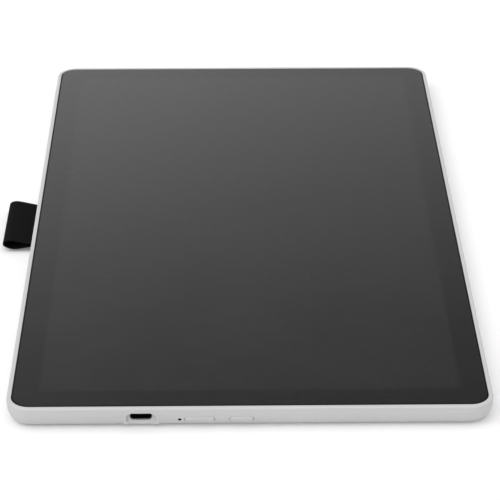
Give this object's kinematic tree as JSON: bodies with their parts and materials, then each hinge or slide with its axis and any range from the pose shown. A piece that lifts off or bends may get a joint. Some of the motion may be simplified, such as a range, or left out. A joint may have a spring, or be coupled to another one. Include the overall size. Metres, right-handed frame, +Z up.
{
  "type": "pen drawing tablet",
  "caption": "Flat pen display: a matte drawing screen under glass in a thin light housing, with a fabric pen loop, a USB-C port and sprung keys on its short edge.",
  "frame": {"origin": "under the middle of the whole object's box, pen loop included, at the height of the surface that the feet rest on", "axes": "+X to the user's right across the short side, +Y along the long side away from the port and keys, +Z up out of the glass"},
  "size_m": [0.2138, 0.3372, 0.0102],
  "materials": {
    "housing": "light grey, finely textured satin",
    "key": "light grey satin, like the housing",
    "screen_glass": "matte etched anti-glare top over a dark screen",
    "border_print": "black screen-printed border behind the glass",
    "optical_film": "white translucent films and moulded frame",
    "clear_acrylic": "clear, polished",
    "display_cell": "dark liquid-crystal cell",
    "foam_tape": "black foam tape",
    "aluminium": "rolled sheet",
    "steel": "plated",
    "circuit_board": "green solder mask",
    "flex_circuit": "amber film",
    "chip": "black moulded packages",
    "insulator": "black moulded",
    "inner_plastic": "dark grey moulded, unseen",
    "foot_rubber": "dark grey silicone rubber",
    "webbing": "black woven elastic webbing",
    "light_lens": "dark unlit lens",
    "label": "blank printed label"
  },
  "bodies": {
    "tablet": {"backlight_frame": "optical_film", "board_screw_1": "steel", "board_screw_2": "steel", "board_screw_3": "steel", "board_screw_4": "steel", "bond_layer": "clear_acrylic", "border_print": "border_print", "case_screw_1": "steel", "case_screw_2": "steel", "case_screw_3": "steel", "case_screw_4": "steel", "chassis_plate": "aluminium", "chip_shield": "steel", "cover_glass": "screen_glass", "diffuser_sheets": "optical_film", "digitizer_board": "circuit_board", "digitizer_shield": "steel", "display_cable": "flex_circuit", "display_chip": "chip", "display_connector": "insulator", "glass_tape": "foam_tape", "lcd_cell": "display_cell", "led_bar": "circuit_board", "light_guide": "clear_acrylic", "main_board": "circuit_board", "menu_switch_body": "insulator", "mid_frame": "inner_plastic", "panel_driver_board": "circuit_board", "panel_flex": "flex_circuit", "panel_tray": "aluminium", "pen_controller_chip": "chip", "pen_loop": "webbing", "pen_loop_anchor": "inner_plastic", "power_inductor": "chip", "power_switch_body": "insulator", "rating_label": "label", "rear_cover": "housing", "reflector_sheet": "optical_film", "rubber_foot_1": "foot_rubber", "rubber_foot_2": "foot_rubber", "rubber_foot_3": "foot_rubber", "rubber_foot_4": "foot_rubber", "sensor_connector": "insulator", "sensor_flex": "flex_circuit", "status_led": "optical_film", "status_light_pipe": "light_lens", "usb_c_shell": "steel", "usb_c_tongue": "insulator"},
    "power_button": {"power_button_cap": "key", "power_switch_plunger": "steel"},
    "menu_button": {"menu_button_cap": "key", "menu_switch_plunger": "steel"}
  },
  "joints": [
    {"name": "power_button_press", "type": "slide", "parent": "tablet", "child": "power_button", "axis": [0, 1, 0], "range_m": [0, 0.0004], "stiffness_N_per_m": 400, "springref_m": -0.0005},
    {"name": "menu_button_press", "type": "slide", "parent": "tablet", "child": "menu_button", "axis": [0, 1, 0], "range_m": [0, 0.0004], "stiffness_N_per_m": 400, "springref_m": -0.0005}
  ]
}
